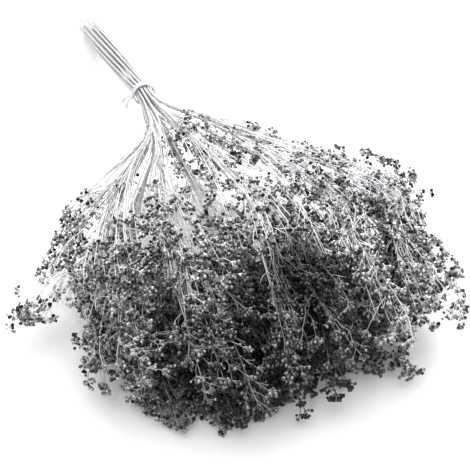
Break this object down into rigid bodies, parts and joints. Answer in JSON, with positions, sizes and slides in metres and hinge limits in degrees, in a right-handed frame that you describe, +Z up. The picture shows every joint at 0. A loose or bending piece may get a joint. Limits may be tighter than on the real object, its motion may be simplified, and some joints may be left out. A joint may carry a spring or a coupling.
{
  "type": "dried broom flower bunch",
  "caption": "Tied bunch of dried broom bloom coloured silver, lying on its side: bare cut stems at one end, wide flattened head of fine branches and small round seed capsules.",
  "frame": {"origin": "centre of the bunch's box in plan, on the surface that it lies on", "axes": "+Y along the bunch towards the cut stems, with the heads towards -Y; +Z up; +X across the head"},
  "size_m": [0.3426, 0.5402, 0.0945],
  "materials": {
    "spray": "dry plant stems and capsules under a thin coat of satin silver paint",
    "tie": "pale twisted cord, matt"
  },
  "bodies": {
    "root": {"spray_centre": "spray", "spray_inner_1": "spray", "spray_inner_2": "spray", "spray_inner_3": "spray", "spray_inner_4": "spray", "spray_inner_5": "spray", "spray_inner_6": "spray", "spray_inner_7": "spray", "spray_outer_1": "spray", "spray_outer_2": "spray", "spray_outer_3": "spray", "spray_outer_4": "spray", "spray_outer_5": "spray", "spray_outer_6": "spray", "spray_outer_7": "spray", "spray_outer_8": "spray", "spray_outer_9": "spray", "spray_outer_10": "spray", "spray_outer_11": "spray", "spray_outer_12": "spray", "spray_outer_13": "spray", "tie": "tie"}
  },
  "joints": []
}
